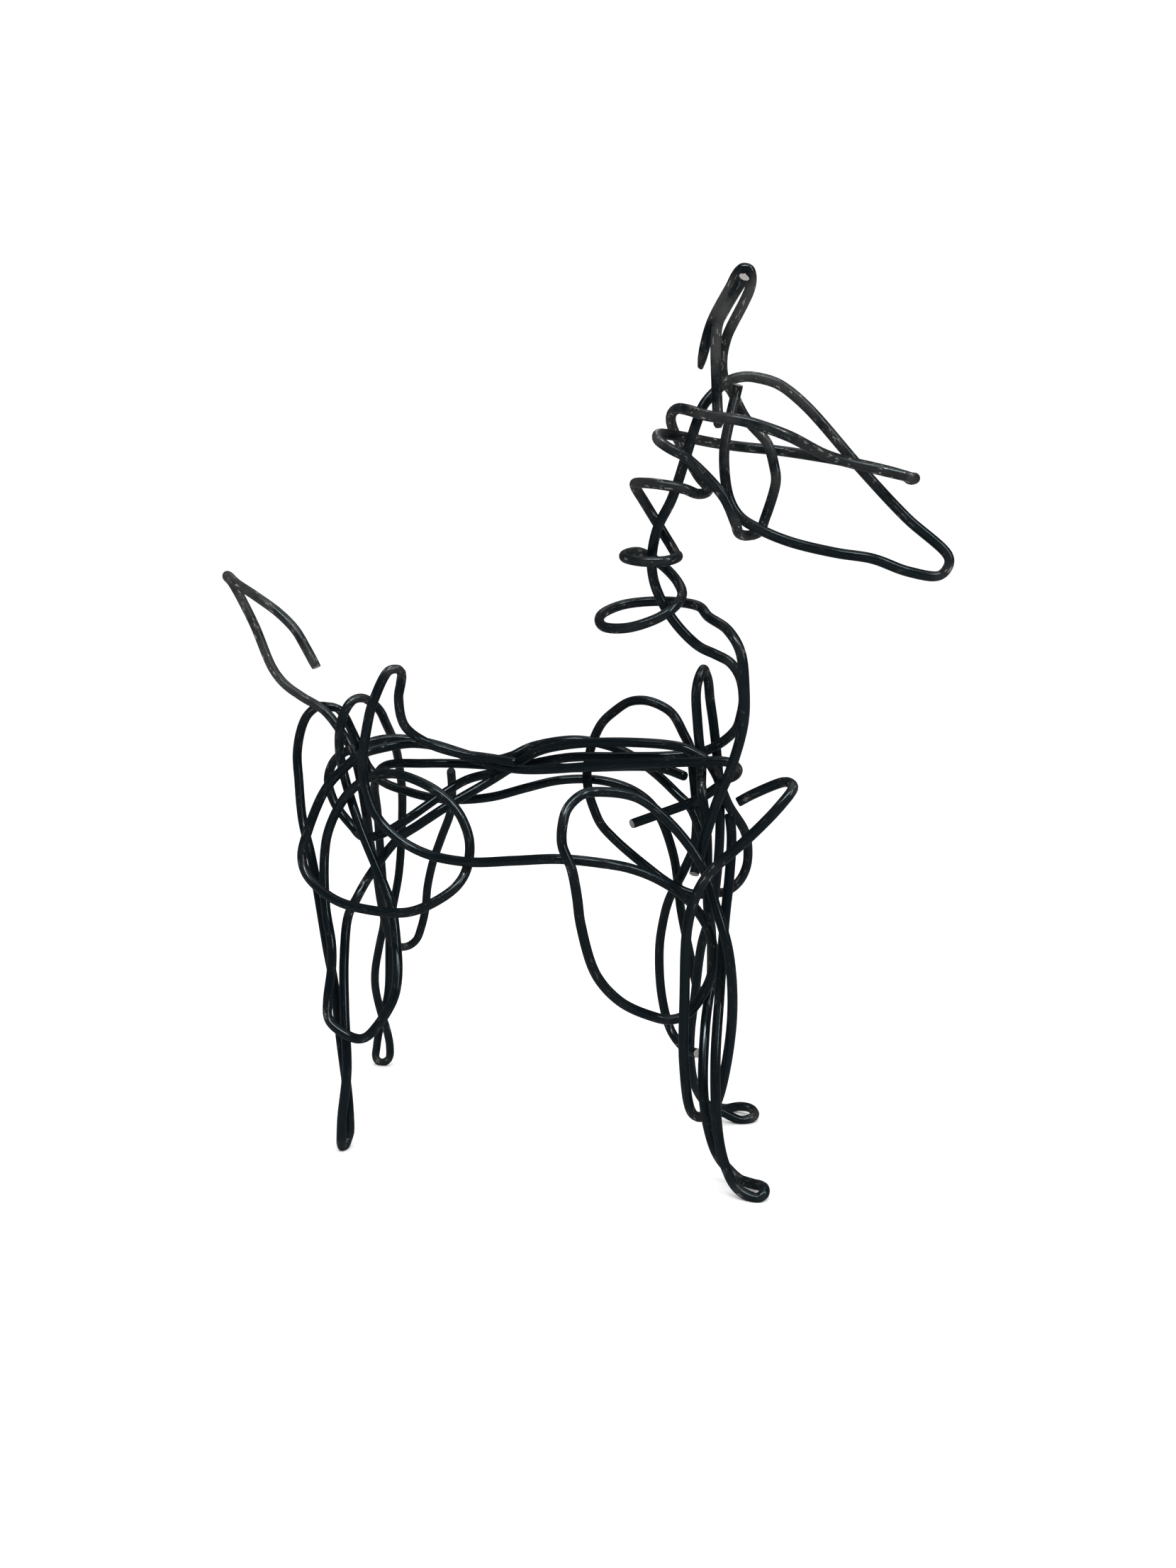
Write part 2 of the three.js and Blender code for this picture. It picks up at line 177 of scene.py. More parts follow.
# back, tall loop at the hip, belly line, shoulder loop and the loop hanging beside the foreleg
BELLY_ROUTE = [
    # from inside the back up into the tall hip loop
    (-4.5, -7, 100.5), (-12.5, -7, 101.5), (-20, -8, 102.5), (-28.5, -11, 105.5), (-32.5, -15, 110),
    (-33, -17, 117), (-31.5, -18.5, 121), (-30.5, -20, 123.5), (-31, -21, 124.5), (-32.5, -23, 124),
    # down behind the haunch
    (-35.5, -25, 117), (-36.5, -26, 112.5), (-38.5, -26, 98.5), (-35.5, -26, 88.5),
    (-29.5, -26, 82.5), (-21, -26, 78.5), (-9.5, -26, 77),
    # belly
    (3, -26, 78), (15, -26, 79), (25, -23, 78), (30.5, -19, 76.5), (36.5, -15, 73.5),
    (42.5, -11, 68.5), (47, -8, 61),
    # round under the shoulder and up its near side
    (48.5, -8, 55), (48, -9, 48.5), (43, -11, 40), (39, -13, 38.5), (35, -15, 39.5),
    (28.5, -20.5, 44), (23.5, -24, 51), (21, -28, 64), (20.5, -29, 70.5), (19.5, -30, 77.5), (17, -29.5, 83),
    (17, -29, 88), (17.5, -27, 91.5), (20, -24, 94.5), (23, -21, 95), (31.5, -17, 93.5),
    # down to the loop beside the foreleg and up again
    (39.5, -14.5, 87), (47, -13.5, 77), (50.5, -14, 67.5), (54, -15, 56.5), (55, -15.5, 40),
    (52, -16, 21.5), (50, -16.5, 17.5), (47.5, -17, 16.5), (46, -19, 18.5), (44.5, -20, 30.5),
    (44.5, -20, 46), (45, -20, 63), (46.5, -19, 70), (49, -19, 75), (51.5, -18, 78),
    # point of the chest
    (59.5, -18, 85.5), (65.5, -17, 92), (68.5, -14, 96.5), (67.5, -11, 97.5), (65, -8, 97.5),
    (57, -5, 94), (53.5, -5, 92),
]

# both front feet and the tall loop of the withers
WITHERS_ROUTE = [
    # down the near foreleg
    (51.5, -5, 89), (52, -5, 83.5), (52, -7, 74), (51.5, -9.5, 63), (51.5, -13.5, 46.5),
    (52.5, -21, 31.5), (54, -24, 15.5), (56, -25, 8.5),
    # near front foot
    (59, -25, 3.5), (63.5, -25, 2), (65, -24, 3), (64.5, -22, 3.5), (61.5, -20, 3), (58, -18.5, 3),
    (55.5, -18, 4.5),
    # up the near foreleg to the withers
    (52.5, -20.5, 10), (49.5, -20, 22), (47.5, -11.5, 37), (47, -7, 42), (47, -4, 47.5),
    (46.5, -3, 60), (46, -4, 64.5), (45.5, -4, 84), (44, -3.5, 95.5), (42.5, 2, 100),
    # tall loop
    (41.5, 2, 110), (41, 2, 119), (41.5, 3.5, 123), (42, 5, 124.5), (42, 6.5, 124), (42.5, 8, 121.5),
    (42.5, 10, 117), (43.5, 10, 110.5),
    # down the far foreleg
    (45, 10, 97), (45.5, 10, 84), (45, 10, 73), (43.5, 11, 62.5), (39.5, 15, 51), (37, 18, 35.5),
    (36, 18, 26), (36, 18, 18.5), (37.5, 18, 11),
    # far front foot
    (40.5, 18.5, 6.5), (45, 20, 4), (49.5, 21.5, 2), (52, 23, 2.5), (52.5, 25, 3),
    (50.5, 27.5, 3.5), (47, 29, 3), (43.5, 29, 2), (40.5, 29, 2),
]

# from the withers along the back to the ring of the haunch and both hind legs
HAUNCH_ROUTE = [
    # cut end at the withers, turned back on itself
    (25, -1, 85), (38, 1.5, 90), (41.5, 2, 91.5), (47, 0, 95), (50.5, -3, 97.5), (52.5, -4, 98.5),
    (53.5, -5.5, 100), (52.5, -6.5, 101.5), (50.5, -6.5, 102), (37.5, -6, 101.5), (18, -3.5, 100), (-3.5, -4, 98.5),
    (-12.5, -4, 99.5), (-20, -4, 101.5), (-27, -6, 104), (-33.5, -9.5, 105), (-39.5, -14, 104),
    (-43, -19, 102.5),
    # ring of the haunch
    (-48, -20.5, 98.5), (-52.5, -22, 93), (-55.5, -26, 82), (-56.5, -27, 76.5), (-55, -28, 72.5),
    (-51, -29, 69), (-43, -30.5, 65.5), (-30.5, -31, 64), (-23, -31, 64.5), (-17, -30, 67),
    (-12.5, -27, 70.5), (-11, -24, 74), (-10.5, -22.5, 78.5), (-11, -22, 83), (-14.5, -21, 89),
    (-21, -20.5, 94), (-31.5, -19.5, 97.5), (-36.5, -19, 97.5), (-41, -19, 96.5),
    (-47, -20, 92),
    # down the near hind leg to the loop of the hock and up again
    (-52.5, -20, 83), (-53.5, -21, 76), (-51, -25, 63), (-47.5, -28, 53.5), (-47, -29, 47.5),
    (-47, -31, 40), (-46, -32.5, 36), (-44, -33, 34), (-38, -33, 31.5), (-35, -33, 32),
    (-32.5, -32, 34.5), (-29.5, -28.5, 41), (-29.5, -26, 46.5), (-32, -22, 54.5),
    (-35, -19, 63.5), (-37.5, -18, 68), (-44.5, -18, 83.5), (-51, -15, 97),
    # over the top of the rump
    (-51.5, -16, 103), (-51, -16.5, 108.5), (-50, -15.5, 113.5), (-48.5, -13.5, 116.5),
    (-47, -11.5, 117), (-46, -9, 116), (-45.5, -5, 113.5), (-46, -1, 110),
    # down the far hind leg
    (-48.5, 8, 104), (-52, 17, 96), (-54, 22, 88), (-57, 26.5, 74), (-59, 28, 62.5),
    (-63, 29.5, 46.5), (-65, 31, 24.5), (-68, 31.5, 14.5),
    # far hind foot
    (-69.5, 31.5, 7), (-69.5, 31, 3), (-67.5, 31, 2), (-65, 31, 3.5), (-64, 30, 8), (-64, 28, 14),
    (-65.5, 27.5, 19),
    # up again and home inside the back
    (-66.5, 26, 27), (-66.5, 26, 32.5), (-64.5, 25.5, 41), (-62, 24, 48.5), (-61, 22, 59),
    (-61, 21, 68.5), (-59, 16, 83), (-55, 8, 92.5), (-48, 2, 98), (-35, 1, 99),
    (-25.5, 3, 99), (-16, 6, 98.5), (5, 5.5, 98.5), (27, 4.5, 99.5), (33, 3, 99), (38.5, 1, 97.5),
]

# tail, ending in a long loop inside the hind quarters
TAIL_ROUTE = [
    # upper strand and tip
    (-51, -27, 125), (-54, -27, 130), (-57, -27, 134.5), (-62, -27, 139), (-69, -27, 143.5),
    (-75.5, -26, 147), (-78.5, -25, 149), (-80.5, -23, 149), (-81, -20, 147.5),
    # lower strand
    (-77.5, -16, 137), (-73.5, -14, 125.5), (-71.5, -13, 122), (-68.5, -13, 119.5),
    (-65, -12, 117), (-58.5, -12, 113.5), (-53.5, -12, 108), (-49.5, -12.5, 102.5),
    # loop inside the hind quarters
    (-48, -11.5, 95), (-48, -9, 86.5), (-51.5, -1, 76), (-55, 8, 67), (-57.5, 15, 55.5),
    (-59.5, 24, 43), (-58.5, 27, 40.5), (-56.5, 29, 40.5), (-54, 29.5, 42.5), (-52, 29, 46.5),
    (-50.5, 29, 52), (-48.5, 27, 60), (-45.5, 25, 68), (-41, 22, 76), (-36, 18, 84),
    (-33.5, 14, 91.5), (-31.5, 9.5, 96.5),
]

# lower back, loop over the rump, near hind foot, back again and the loops of the shoulder
RUMP_ROUTE = [
    # from beside the foreleg up to the lower back
    (36, 25, 35.5), (34, 23.5, 47), (32, 22, 58.5), (30.5, 18.5, 75), (26.5, 15.5, 87),
    (22, 14, 91.5), (16, 13, 94), (8.5, 12.5, 95), (0, 10.5, 94.5), (-8, 7, 92.5), (-17, 5.5, 90),
    (-26, 4, 89), (-34, 2.5, 89.5), (-41, 0, 91.5), (-46, -3, 94), (-50.5, -3, 98),
    # loop over the rump
    (-53, -3, 103), (-55, -4, 108), (-56, -6, 112), (-57.5, -7, 114), (-60, -8, 114.5),
    (-63, -8, 114.5), (-65.5, -9, 112.5), (-67, -10, 109), (-68, -11, 102), (-67, -12, 94.5),
    (-64, -15, 84), (-59.5, -18, 74.5),
    # near hind leg and its foot
    (-52.5, -22, 50.5), (-50.5, -22.5, 42.5), (-47, -25, 27), (-43.5, -28, 15), (-42.5, -29, 9),
    (-42.5, -29, 5), (-43, -29, 3.5), (-43, -30.5, 2), (-43, -31.5, 2), (-42.5, -33, 3.5),
    (-42.5, -33, 5),
    (-42.5, -32.5, 10),
    # up again
    (-42, -30.5, 22), (-44.5, -27, 36), (-47.5, -22, 49), (-48.5, -18, 59.5), (-46.5, -17, 64),
    (-45, -13.5, 69), (-35.5, -14, 80), (-29.5, -13.5, 84), (-22, -9, 89.5), (-14, -3, 95),
    # along the back
    (-8, -1, 99), (-1, -1.5, 103), (7.5, -2, 105), (21, -2, 106), (35, -1.5, 105.5), (40, -2, 104.5),
    (44.5, -2, 102), (46, 2, 98.5),
    # small shoulder loop
    (48, 8, 90), (51, 15, 82), (51.5, 16.5, 77), (51, 17, 72.5), (49, 17, 68.5), (46, 16, 66),
    (42.5, 15, 65.5), (38, 12, 65.5), (32.5, 10, 68),
    # large shoulder loop
    (25, 8.5, 73.5), (17.5, 8, 79.5), (13.5, 8, 83.5), (11.5, 8, 87.5), (10, 8, 92), (9, 9.5, 97),
    (9.5, 10, 102), (11, 10.5, 107), (13, 10.5, 110.5), (16.5, 10, 113.5), (20.5, 10, 116),
    (24.5, 10, 116.5), (28.5, 10, 115.5), (32.5, 10, 113), (35.5, 10, 108), (37.5, 10.5, 103.5),
    (38, 10.5, 98.5), (39, 10.5, 88), (38.5, 11, 79),
    # down the inside of the far foreleg
    (35, 13.5, 71.5), (30, 16.5, 62.5), (28, 17.5, 55.5), (27, 18, 48.5), (27.5, 18, 37),
    (30, 17, 28), (33, 15, 24.5), (36.5, 12.5, 23), (40.5, 9, 23.5),
]


# ---- bending the wire ----

def neck_coil(half_turns, way_out):
    """Each half turn starts at one side of the neck and crosses to the other, near side or far side by turns."""
    points = []
    ends = half_turns[1:] + [way_out]
    for (x, y, z, crossing, bow), following in zip(half_turns, ends):
        for j in range(COIL_POINTS):
            angle = j / COIL_POINTS * math.pi
            share = (1 - math.cos(angle)) / 2
            level = y + (following[1] - y) * share
            points.append((
                x + (following[0] - x) * share,
                level + (crossing - level) * math.sin(angle),
                z + (following[2] - z) * share + bow * math.sin(angle),
            ))
    return points


def span_point(before, start, end, after, share):
    """A point of the centripetal curve between start and end."""
    gaps = [max((b - a).length, 1e-7) ** 0.5 for a, b in ((before, start), (start, end), (end, after))]
    leave = (start - before) / gaps[0] - (end - before) / (gaps[0] + gaps[1]) + (end - start) / gaps[1]
    arrive = (end - start) / gaps[1] - (after - start) / (gaps[1] + gaps[2]) + (after - end) / gaps[2]
    leave *= gaps[1]
    arrive *= gaps[1]
    square = (end - start) * 3 - leave * 2 - arrive
    cube = (start - end) * 2 + leave + arrive
    return start + leave * share + square * share ** 2 + cube * share ** 3


def bent_line(route):
    """The centre line as close, even samples of a smooth curve through the route."""
    points = [Vector(p) * MM + LAYOUT_SHIFT for p in route]
    points = [points[0] * 2 - points[1]] + points + [points[-1] * 2 - points[-2]]
    line = []
    for i in range(1, len(points) - 2):
        for j in range(SAMPLES_PER_SPAN):
            line.append(span_point(*points[i - 1:i + 3], j / SAMPLES_PER_SPAN))
    line.append(points[-2])
    return line


def stations(line, seed):
    """Places for the rings: close together in the bends and at the cut ends, further apart where the wire is straight."""
    run = [0.0]
    along = [0.0]
    for i in range(1, len(line)):
        step = (line[i] - line[i - 1]).length
        turn = 0.0
        if 1 < i < len(line) - 1:
            turn = (line[i] - line[i - 1]).angle(line[i + 1] - line[i], 0.0)
        run.append(run[-1] + step / STRAIGHT_STEP + turn / BEND_STEP)
        along.append(along[-1] + step)
    wanted = [i * run[-1] / math.ceil(run[-1]) for i in range(math.ceil(run[-1]) + 1)]
    places = []
    at = 0
    for value in wanted:
        while at < len(run) - 2 and run[at + 1] < value:
            at += 1
        share = (value - run[at]) / (run[at + 1] - run[at])
        places.append((line[at].lerp(line[at + 1], share), along[at] + (along[at + 1] - along[at]) * share))
    first = [(places[0][0].lerp(places[1][0], s), places[1][1] * s) for s in (0, 0.15, 0.4)]
    gap = places[-1][1] - places[-2][1]
    last = [(places[-2][0].lerp(places[-1][0], s), places[-2][1] + gap * s) for s in (0.6, 0.85, 1)]
    places = first + places[1:-1] + last
    tremor = []
    for place, length in places:
        wander = noise.noise_vector(place / TREMOR_LENGTH + Vector((seed, 0, 0)))
        tremor.append((place + wander * HAND_TREMOR, length))
    return tremor


def ring_frames(places):
    """A matrix at each station: z along the wire, x and y across it, carried along without twist."""
    centres = [p for p, _ in places]
    frames = []
    across = None
    for i, centre in enumerate(centres):
        ahead = centres[min(i + 1, len(centres) - 1)]
        behind = centres[max(i - 1, 0)]
        heading = (ahead - behind).normalized()
        if across is None:
            across = heading.orthogonal().normalized()
        across = (across - heading * across.dot(heading)).normalized()
        other = heading.cross(across)
        frames.append(Matrix.Translation(centre) @ Matrix((across, other, heading)).transposed().to_4x4())
    return frames


def bend_at(places, i):
    """(direction towards the inside of the bend, tightness from 0 to 1) at a station."""
    if i in (0, len(places) - 1):
        return Vector((0, 0, 0)), 0.0
    back = places[i][0] - places[i - 1][0]
    forward = places[i + 1][0] - places[i][0]
    turn = forward.normalized() - back.normalized()
    curvature = turn.length / max((back.length + forward.length) / 2, 1e-7)
    tightness = min(curvature * 3 * MM, 1.0)
    return turn.normalized(), tightness


def smooth_step(value, low, high):
    share = min(max((value - low) / (high - low), 0.0), 1.0)
    return share * share * (3 - 2 * share)


def shape_cut(local, cut, from_tip, outwards, jaw_side):
    """Moves a point near the tip the way the side cutters left it; local is in the ring's own frame."""
    narrow, other_narrow, slope, length, _ = CUTS[cut]
    if from_tip > length:
        return
    share = 1 - from_tip / length
    local.z -= outwards * local.dot(jaw_side) * slope * share
    local.y *= 1 - (1 - narrow) * share ** 1.4
    local.x *= 1 - (1 - other_narrow) * share ** 1.4


def shape_ring(ring, frame, inside, tightness, from_start, from_end, cuts):
    """Flattens the section in a tight bend, presses in the marks of the pliers and shapes the cut ends."""
    to_ring = frame.inverted()
    inwards = to_ring.to_3x3() @ inside
    jaw_side = to_ring.to_3x3() @ JAW_SIDE
    jaw_side.z = 0
    for vert in ring:
        local = to_ring @ vert.co
        local -= inwards * local.dot(inwards) * FLATTENING * tightness
        mark = noise.noise(vert.co / PLIER_MARK_LENGTH) - PLIER_MARK_THRESHOLD
        local.xy *= 1 - max(mark, 0.0) * (tightness + LIGHT_MARKS) * PLIER_MARK_DEPTH
        shape_cut(local, cuts[0], from_start, -1, jaw_side)
        shape_cut(local, cuts[1], from_end, 1, jaw_side)
        vert.co = frame @ local
        vert.co.z = max(vert.co.z, 0.0)


def swept_wire(name, route, cuts, seed):
    """One length of wire: a circle drawn along the route ring by ring, with its ends cut."""
    places = stations(bent_line(route), seed)
    frames = ring_frames(places)
    length = places[-1][1]
    bm = bmesh.new()
    unbent = bm.verts.layers.float_vector.new("unbent")
    bent = bm.verts.layers.float.new("bent")
    ring = bmesh.ops.create_circle(bm, segments=WIRE_SIDES, radius=WIRE_RADIUS, matrix=frames[0])["verts"]
    edges = list(bm.edges)
    rims = [edges]
    rings = [ring]
    for i in range(1, len(frames)):
        grown = bmesh.ops.extrude_edge_only(bm, edges=edges)["geom"]
        ring = [g for g in grown if isinstance(g, bmesh.types.BMVert)]
        edges = [g for g in grown if isinstance(g, bmesh.types.BMEdge)]
        bmesh.ops.transform(bm, matrix=frames[i] @ frames[i - 1].inverted(), verts=ring)
        rings.append(ring)
    rims.append(edges)
    for i, ring in enumerate(rings):
        inside, tightness = bend_at(places, i)
        along = places[i][1]
        to_ring = frames[i].inverted()
        for vert in ring:
            local = to_ring @ vert.co
            vert[unbent] = (along, local.x, local.y)
            vert[bent] = tightness
        shape_ring(ring, frames[i], inside, tightness, along, length - along, cuts)
    for face in bm.faces:
        face.smooth = True
    for rim, cut in zip(rims, cuts):
        cap = bmesh.ops.edgeloop_fill(bm, edges=rim, mat_nr=CUTS[cut][4])["faces"]
        for face in cap:
            face.smooth = False
        for edge in rim:
            edge.smooth = False
    bmesh.ops.recalc_face_normals(bm, faces=bm.faces)
    mesh = bpy.data.meshes.new(name)
    bm.to_mesh(mesh)
    bm.free()
    piece = bpy.data.objects.new(name, mesh)
    bpy.context.scene.collection.objects.link(piece)
    return piece


# ---- finishes ----

def shader_group(name, inputs, outputs):
    """An empty shader node group with float or vector sockets, and its input and output nodes."""
    group = bpy.data.node_groups.new(name, "ShaderNodeTree")
    for title, kind in inputs:
        group.interface.new_socket(title, in_out="INPUT", socket_type=kind)
    for title, kind in outputs:
        group.interface.new_socket(title, in_out="OUTPUT", socket_type=kind)
    return group, group.nodes.new("NodeGroupInput"), group.nodes.new("NodeGroupOutput")


def add_math(tree, operation, first, second, clamp=False):
    node = tree.nodes.new("ShaderNodeMath")
    node.operation = operation
    node.use_clamp = clamp
    for socket, value in zip(node.inputs, (first, second)):
        if isinstance(value, (int, float)):
            socket.default_value = value
        else:
            tree.links.new(value, socket)
    return node.outputs[0]


def add_noise(tree, vector, stretch, detail, roughness=0.5):
    """Noise on a vector in metres, with one wavelength along each axis given in metres."""
    mapping = tree.nodes.new("ShaderNodeMapping")
    mapping.inputs["Scale"].default_value = [1 / s for s in stretch]
    texture = tree.nodes.new("ShaderNodeTexNoise")
    texture.inputs["Scale"].default_value = 1
    texture.inputs["Detail"].default_value = detail
    texture.inputs["Roughness"].default_value = roughness
    tree.links.new(vector, mapping.inputs["Vector"])
    tree.links.new(mapping.outputs[0], texture.inputs["Vector"])
    return texture.outputs["Fac"]


def add_step(tree, value, low, high):
    """0 below low, 1 above high, smooth between."""
    node = tree.nodes.new("ShaderNodeMapRange")
    node.interpolation_type = "SMOOTHSTEP"
    for title, number in (("From Min", low), ("From Max", high)):
        if isinstance(number, (int, float)):
            node.inputs[title].default_value = number
        else:
            tree.links.new(number, node.inputs[title])
    tree.links.new(value, node.inputs["Value"])
    return node.outputs["Result"]


def drawn_grain_group():
    """The fine lines that the drawing die leaves along a wire."""
    group, source, sink = shader_group(
        "drawn_grain", [("Unbent", "NodeSocketVector")],
        [("Lines", "NodeSocketFloat"), ("Broad", "NodeSocketFloat")])
    lines = add_noise(group, source.outputs["Unbent"], (30 * MM, 0.22 * MM, 0.22 * MM), 3, 0.6)
    broad = add_noise(group, source.outputs["Unbent"], (45 * MM, 1.1 * MM, 1.1 * MM), 1)
    group.links.new(lines, sink.inputs["Lines"])
    group.links.new(broad, sink.inputs["Broad"])
    return group


def handling_group():
    """Where the lacquer is rubbed dull by hands and pliers, and where it is chipped off."""
    group, source, sink = shader_group(
        "handling",
        [("Place", "NodeSocketVector"), ("Unbent", "NodeSocketVector"), ("Bent", "NodeSocketFloat"),
         ("Low", "NodeSocketFloat"), ("High", "NodeSocketFloat")],
        [("Rubbed", "NodeSocketFloat"), ("Chips", "NodeSocketFloat"), ("Dents", "NodeSocketFloat")])
    place = source.outputs["Place"]
    split = group.nodes.new("ShaderNodeSeparateXYZ")
    group.links.new(place, split.inputs[0])
    height = add_step(group, split.outputs["Z"], source.outputs["Low"], source.outputs["High"])
    clouds = add_noise(group, place, (9 * MM, 9 * MM, 9 * MM), 3, 0.6)
    handled = add_math(group, "ADD", height, add_math(group, "MULTIPLY", source.outputs["Bent"], 0.55), True)
    rubbed = add_math(group, "MULTIPLY", handled, add_step(group, clouds, 0.3, 0.62), True)
    streaks = add_noise(group, source.outputs["Unbent"], (2.4 * MM, 0.7 * MM, 0.7 * MM), 2, 0.7)
    chips = add_math(group, "MULTIPLY", rubbed, add_step(group, streaks, 0.62, 0.67), True)
    dents = add_noise(group, place, (1.3 * MM, 1.3 * MM, 1.3 * MM), 2)
    group.links.new(rubbed, sink.inputs["Rubbed"])
    group.links.new(chips, sink.inputs["Chips"])
    group.links.new(add_math(group, "MULTIPLY", dents, rubbed), sink.inputs["Dents"])
    return group


def add_mix(tree, factor, first, second):
    """Mixes two colours or sockets by a mask."""
    node = tree.nodes.new("ShaderNodeMix")
    node.data_type = "RGBA"
    tree.links.new(factor, node.inputs["Factor"])
    for index, value in ((6, first), (7, second)):
        if isinstance(value, tuple):
            node.inputs[index].default_value = (*value, 1)
        else:
            tree.links.new(value, node.inputs[index])
    return node.outputs[2]


def lacquer(name, groups, low, high):
    """Black lacquer over drawn steel wire, rubbed browner between the heights low and high."""
    material = bpy.data.materials.new(name)
    material.use_nodes = True
    tree = material.node_tree
    shader = tree.nodes["Principled BSDF"]
    unbent = tree.nodes.new("ShaderNodeAttribute")
    unbent.attribute_name = "unbent"
    bent = tree.nodes.new("ShaderNodeAttribute")
    bent.attribute_name = "bent"
    place = tree.nodes.new("ShaderNodeTexCoord")
    grain = tree.nodes.new("ShaderNodeGroup")
    grain.node_tree = groups["grain"]
    handling = tree.nodes.new("ShaderNodeGroup")
    handling.node_tree = groups["handling"]
    handling.inputs["Low"].default_value = low
    handling.inputs["High"].default_value = high
    tree.links.new(unbent.outputs["Vector"], grain.inputs["Unbent"])
    tree.links.new(unbent.outputs["Vector"], handling.inputs["Unbent"])
    tree.links.new(bent.outputs["Fac"], handling.inputs["Bent"])
    tree.links.new(place.outputs["Object"], handling.inputs["Place"])
    # colour: blue-black, a little greyer in broad drawn bands, browner where rubbed, steel in the chips
    body = add_mix(tree, grain.outputs["Broad"], LACQUER_DARK, LACQUER_BLUE)
    worn = add_mix(tree, handling.outputs["Rubbed"], body, LACQUER_RUBBED)
    colour = add_mix(tree, handling.outputs["Chips"], worn, BARE_STEEL)
    tree.links.new(colour, shader.inputs["Base Color"])
    # gloss: the lines break it up along the wire, rubbing dulls it
    rough = add_math(tree, "MULTIPLY_ADD", grain.outputs["Lines"], 0.2)
    rough.node.inputs[2].default_value = 0.06
    dulled = add_math(tree, "MULTIPLY", handling.outputs["Rubbed"], 0.2)
    tree.links.new(add_math(tree, "ADD", rough, dulled, True), shader.inputs["Roughness"])
    tree.links.new(add_math(tree, "MULTIPLY", handling.outputs["Chips"], 0.8), shader.inputs["Metallic"])
    shader.inputs["IOR"].default_value = 1.5
    shader.inputs["Specular Tint"].default_value = (*LACQUER_SHEEN, 1)
    relief = add_math(tree, "MULTIPLY", grain.outputs["Lines"], 0.35)
    pits = add_math(tree, "SUBTRACT", relief, handling.outputs["Dents"])
    bump = tree.nodes.new("ShaderNodeBump")
    bump.inputs["Strength"].default_value = 0.6
    bump.inputs["Distance"].default_value = 0.08 * MM
    tree.links.new(pits, bump.inputs["Height"])
    tree.links.new(bump.outputs["Normal"], shader.inputs["Normal"])
    return material


def cut_steel(groups):
    """Bright steel where the cutters went through, with the lines of their jaws."""
    material = bpy.data.materials.new("cut_steel")
    material.use_nodes = True
    tree = material.node_tree
    shader = tree.nodes["Principled BSDF"]
    place = tree.nodes.new("ShaderNodeTexCoord")
    jaw_lines = add_noise(tree, place.outputs["Object"], (0.15 * MM, 0.9 * MM, 0.3 * MM), 2)
    tree.links.new(add_mix(tree, jaw_lines, CUT_LIGHT, CUT_DARK), shader.inputs["Base Color"])
    tree.links.new(add_math(tree, "MULTIPLY_ADD", jaw_lines, 0.3), shader.inputs["Roughness"])
    bump = tree.nodes.new("ShaderNodeBump")
    bump.inputs["Distance"].default_value = 0.05 * MM
    tree.links.new(jaw_lines, bump.inputs["Height"])
    tree.links.new(bump.outputs["Normal"], shader.inputs["Normal"])
    shader.inputs["Metallic"].default_value = 0.7
    return material


# ---- the eight wires: name, route, cut ends, finish ----
WIRES = [
    ("profile", PROFILE_ROUTE, ("sheared", "sheared"), "head"),
    ("ear_and_neck", EAR_ROUTE + neck_coil(NECK_COIL, NECK_ROUTE[0]) + NECK_ROUTE, ("pinched", "sheared"), "head"),
    ("ear_front", EAR_FRONT_ROUTE, ("rounded", "sheared"), "head"),
    ("belly", BELLY_ROUTE, ("painted", "painted"), "body"),
    ("withers", WITHERS_ROUTE, ("painted", "painted"), "body"),
    ("haunch", HAUNCH_ROUTE, ("sheared", "painted"), "body"),
    ("tail", TAIL_ROUTE, ("nipped", "painted"), "tail"),
    ("rump", RUMP_ROUTE, ("painted", "sheared"), "body"),
]
CAD_NODES = {
    "profile": "profile_wire",
    "ear_and_neck": "ear_and_neck_wire",
    "ear_front": "ear_front_strand",
    "belly": "belly_wire",
    "withers": "withers_wire",
    "haunch": "haunch_wire",
    "tail": "tail_wire",
    "rump": "rump_wire",
}


def add_floor():
    """A wide pale sheet of paper under the feet, turned dark grey where the lacquer reflects it: painted shade on
    the undersides of the wires.
    """
    bm = bmesh.new()
    bmesh.ops.create_grid(bm, x_segments=1, y_segments=1, size=6)
    mesh = bpy.data.meshes.new("floor")
    bm.to_mesh(mesh)
    bm.free()
    floor = bpy.data.objects.new("floor", mesh)
    bpy.context.scene.collection.objects.link(floor)
    material = bpy.data.materials.new("floor_paper")
    material.use_nodes = True
    shader = material.node_tree.nodes["Principled BSDF"]
    tree = material.node_tree
    path = tree.nodes.new("ShaderNodeLightPath")
    # white paper for direct view and lighting, dark grey for glossy rays: painted shade in the lacquer's
    # reflections of the floor
    paper_and_reflected_shade = add_mix(tree, path.outputs["Is Glossy Ray"], FLOOR_COLOUR, FLOOR_REFLECTED_SHADE)
    tree.links.new(paper_and_reflected_shade, shader.inputs["Base Color"])
    shader.inputs["Roughness"].default_value = 0.9
    shader.inputs["Specular IOR Level"].default_value = 0.1
    mesh.materials.append(material)


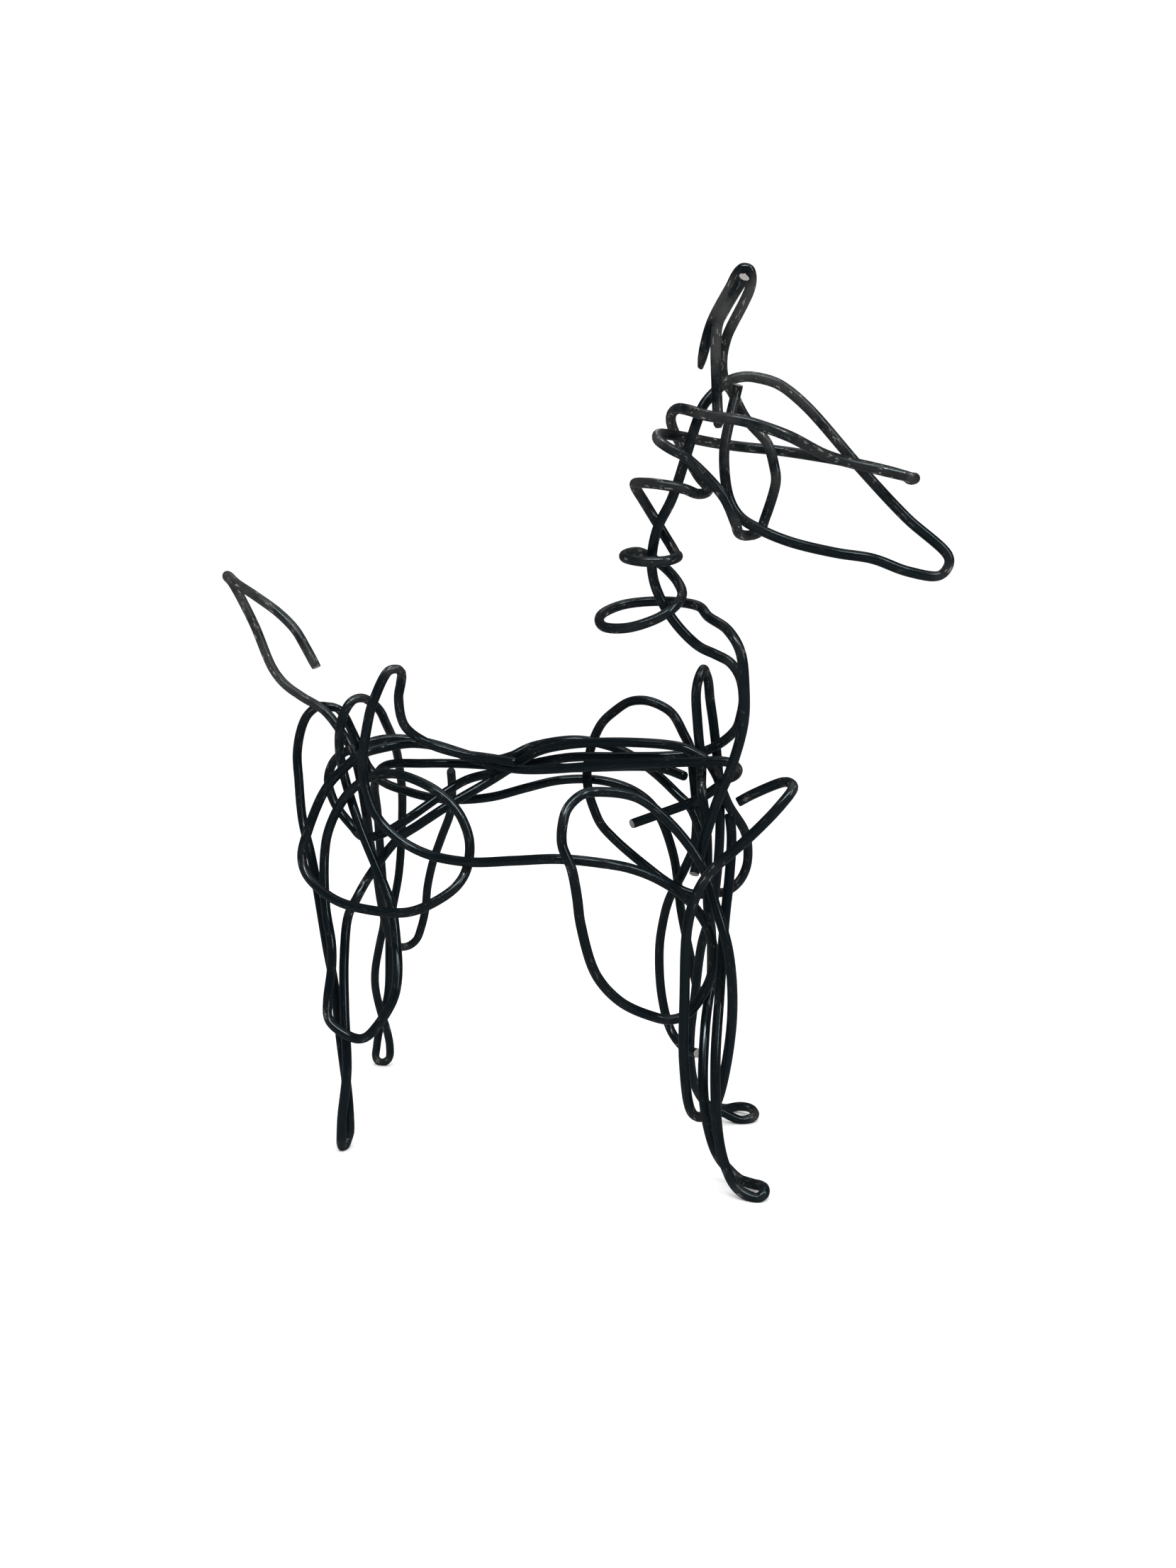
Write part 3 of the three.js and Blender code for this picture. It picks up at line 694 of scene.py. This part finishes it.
def add_softbox(name, place, aim, size, power):
    light = bpy.data.lights.new(name, "AREA")
    light.shape = "RECTANGLE"
    light.size, light.size_y = size
    light.energy = power
    lamp = bpy.data.objects.new(name, light)
    lamp.location = place
    lamp.rotation_euler = (Vector(aim) - Vector(place)).to_track_quat("-Z", "Y").to_euler()
    bpy.context.scene.collection.objects.link(lamp)


def add_surroundings():
    """White all round, but a dim room in the reflections of the lacquer."""
    world = bpy.data.worlds.new("studio")
    world.use_nodes = True
    tree = world.node_tree
    background = tree.nodes["Background"]
    path = tree.nodes.new("ShaderNodeLightPath")
    strength = tree.nodes.new("ShaderNodeMapRange")
    strength.inputs["To Min"].default_value = SKY_LIGHT
    strength.inputs["To Max"].default_value = ROOM_LIGHT
    tree.links.new(path.outputs["Is Glossy Ray"], strength.inputs["Value"])
    tree.links.new(strength.outputs["Result"], background.inputs["Strength"])
    background.inputs["Color"].default_value = (1, 1, 1, 1)
    bpy.context.scene.world = world


def add_camera():
    lens = bpy.data.cameras.new("camera")
    lens.lens = LENS_MM
    lens.sensor_width = SENSOR_MM
    lens.clip_start = 0.01
    camera = bpy.data.objects.new("camera", lens)
    camera.location = CAMERA_PLACE
    camera.rotation_euler = (math.pi / 2 - CAMERA_DIP, 0, CAMERA_TURN)
    bpy.context.scene.collection.objects.link(camera)
    bpy.context.scene.camera = camera


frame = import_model()

add_camera()
groups = {"grain": drawn_grain_group(), "handling": handling_group()}
finishes = {
    "body": lacquer("lacquer_body", groups, 150 * MM, 260 * MM),
    "head": lacquer("lacquer_head", groups, 150 * MM, 205 * MM),
    "tail": lacquer("lacquer_tail", groups, 95 * MM, 140 * MM),
}
bare = cut_steel(groups)
for seed, (name, route, cuts, finish) in enumerate(WIRES):
    piece = swept_wire(name, route, cuts, seed)
    piece.data.materials.append(finishes[finish])
    piece.data.materials.append(bare)
    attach(piece, "root")
    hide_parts(CAD_NODES[name])

add_floor()
add_surroundings()
add_softbox("overhead", (0.1, 0.1, 1.1), (0, 0, 0.1), (1.1, 0.7), 1.8)
add_softbox("front_strip", (0.25, -0.9, 1.3), (0, 0, 0.12), (1.0, 0.1), 9)
add_softbox("side_strip", (1.1, -0.5, 0.9), (0, 0, 0.12), (0.1, 0.9), 4)
bpy.context.scene.view_settings.view_transform = "Standard"
